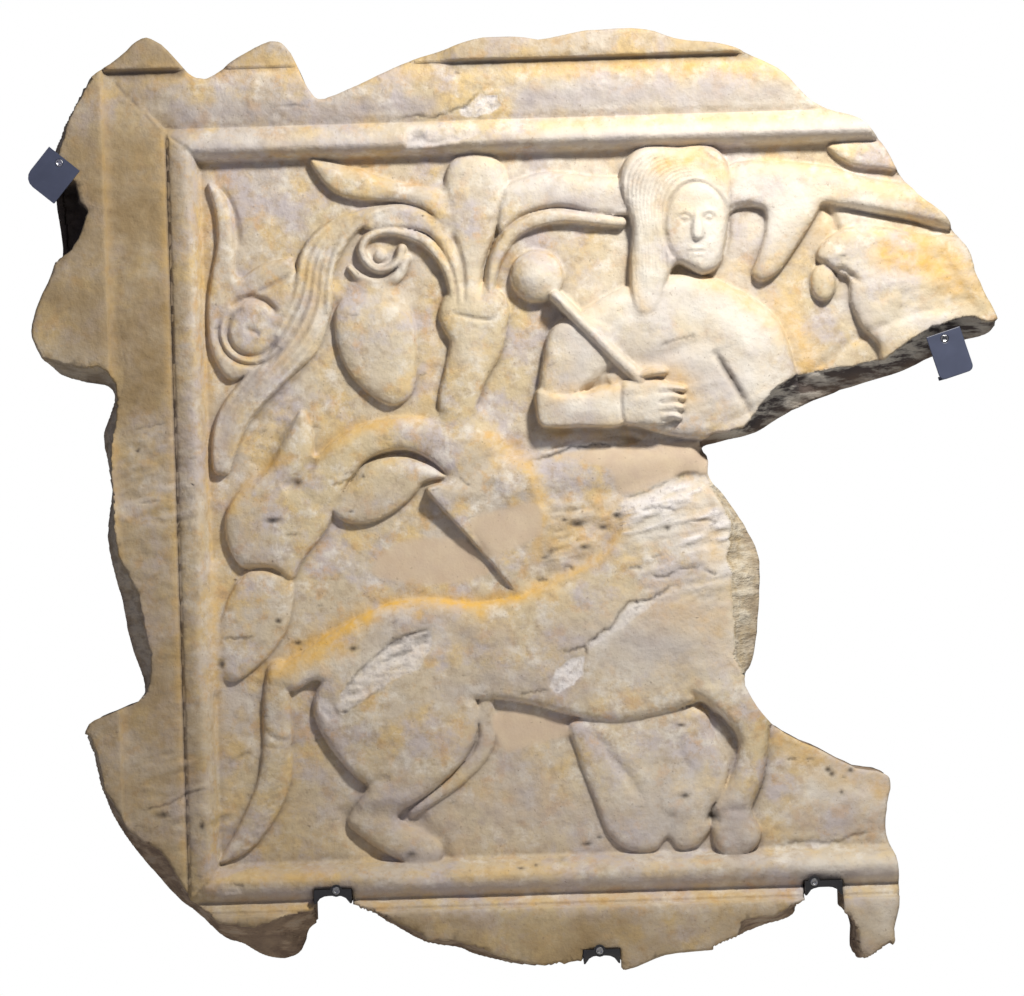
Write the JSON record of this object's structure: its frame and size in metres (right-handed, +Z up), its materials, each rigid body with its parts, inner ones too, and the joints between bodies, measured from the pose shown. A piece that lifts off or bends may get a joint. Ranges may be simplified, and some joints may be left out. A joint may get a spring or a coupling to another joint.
{
  "type": "stone relief panel",
  "caption": "Broken marble slab carved in low relief with a centaur among plant scrolls inside a moulded border, hung on a wall by steel clips and bars.",
  "frame": {"origin": "point on the slab's flat back face, near the middle of the slab, where it lies against the wall", "axes": "+Z up along the wall, +Y from the carved front through the back into the wall, +X to the right seen from the front"},
  "size_m": [0.97, 0.0998, 0.9485],
  "materials": {
    "marble": "weathered, worn smooth on the figures, rough on the breaks, stained yellow and grey",
    "clip_steel": "satin blue-grey paint",
    "screw_steel": "plain steel"
  },
  "bodies": {
    "root": {"relief_panel": "marble", "clip_left": "clip_steel", "clip_right": "clip_steel", "support_bar_1": "clip_steel", "support_bar_2": "clip_steel", "support_bar_3": "clip_steel", "clip_left_screw": "screw_steel", "clip_right_screw": "screw_steel", "support_screw_1": "screw_steel", "support_screw_2": "screw_steel", "support_screw_3": "screw_steel"}
  },
  "joints": []
}
